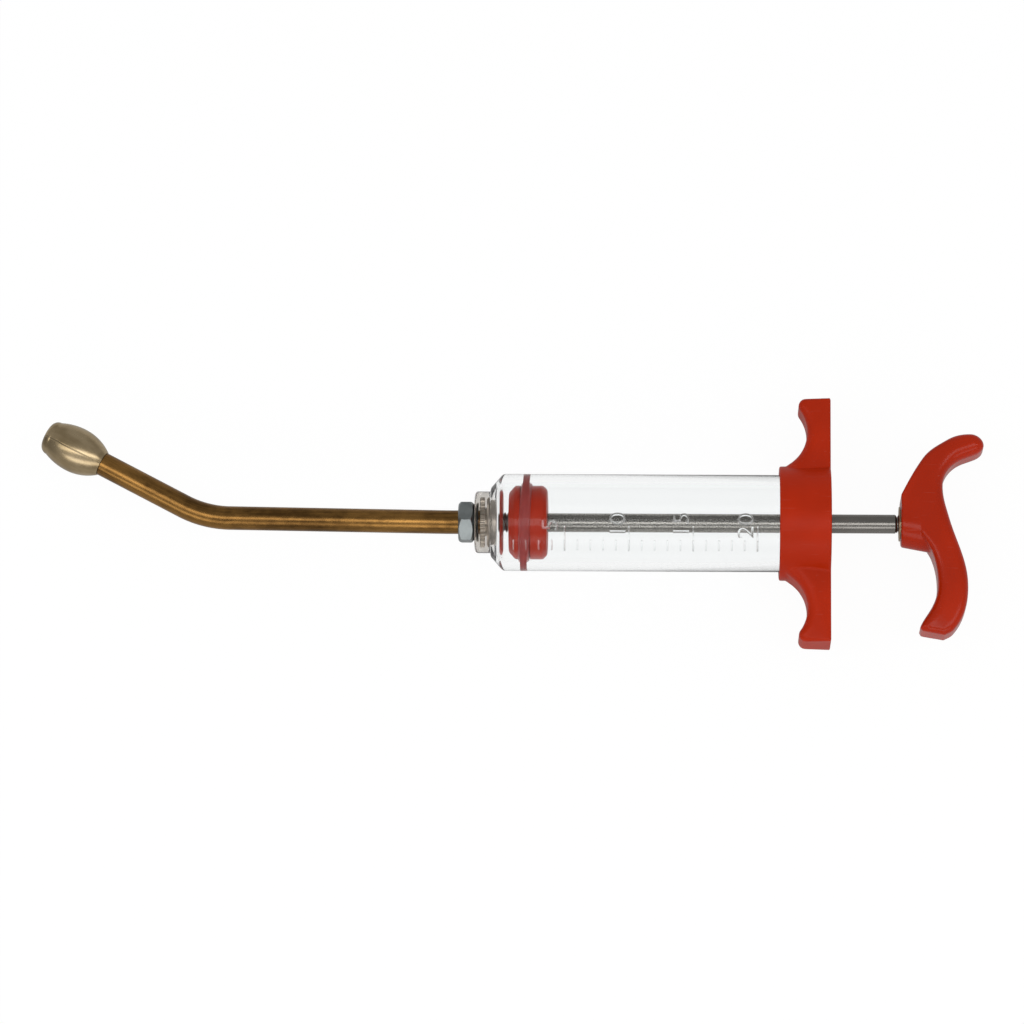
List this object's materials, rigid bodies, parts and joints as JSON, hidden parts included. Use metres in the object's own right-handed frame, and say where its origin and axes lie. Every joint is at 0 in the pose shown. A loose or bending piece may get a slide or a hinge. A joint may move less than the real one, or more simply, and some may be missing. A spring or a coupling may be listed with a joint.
{
  "type": "dosing syringe",
  "caption": "Hand dosing syringe with a clear graduated barrel, red finger grip and palm handle, steel rod, and a bent brass nozzle tube with a ball tip.",
  "frame": {"origin": "under the middle of the whole syringe, on the plane that its lowest point touches", "axes": "+X along the barrel's axis from the nozzle to the palm handle; +Y along the upper wing of the finger grip, the side to which the nozzle bends; +Z square to the plane of the wings"},
  "size_m": [0.2342, 0.062, 0.0285],
  "materials": {
    "nozzle_olive": "satin brushed",
    "nozzle_tube": "dark antique satin",
    "lock_nut": "zinc plated",
    "nozzle_gasket": "matt black",
    "neck_insert": "knurled, nickel plated",
    "barrel": "clear moulded polycarbonate",
    "piston_discs": "satin",
    "piston_o_ring": "satin",
    "piston_rod": "drawn, lightly scratched",
    "red_moulding": "moulded satin gloss",
    "handle_insert": "bright turned"
  },
  "bodies": {
    "housing": {"barrel": "barrel", "neck_insert": "neck_insert", "nozzle_gasket": "nozzle_gasket", "finger_grip": "red_moulding"},
    "nozzle": {"nozzle_tube": "nozzle_tube", "nozzle_olive": "nozzle_olive", "lock_nut": "lock_nut"},
    "piston_seal": {"piston_o_ring": "piston_o_ring"},
    "plunger": {"piston_front": "piston_discs", "piston_rear": "piston_discs", "piston_rod": "piston_rod", "palm_handle": "red_moulding", "handle_insert": "handle_insert"}
  },
  "joints": [
    {"name": "plunger_slide", "type": "slide", "parent": "housing", "child": "piston_seal", "axis": [1, 0, 0], "range_m": [-0.0019, 0.0663]},
    {"name": "plunger_turn", "type": "hinge", "parent": "piston_seal", "child": "plunger", "pos_m": [-0.00325, 0, 0.01425], "axis": [1, 0, 0], "continuous": true},
    {"name": "nozzle_aim", "type": "hinge", "parent": "housing", "child": "nozzle", "pos_m": [-0.00325, 0, 0.01425], "axis": [1, 0, 0], "range_deg": [-180, 180]}
  ]
}
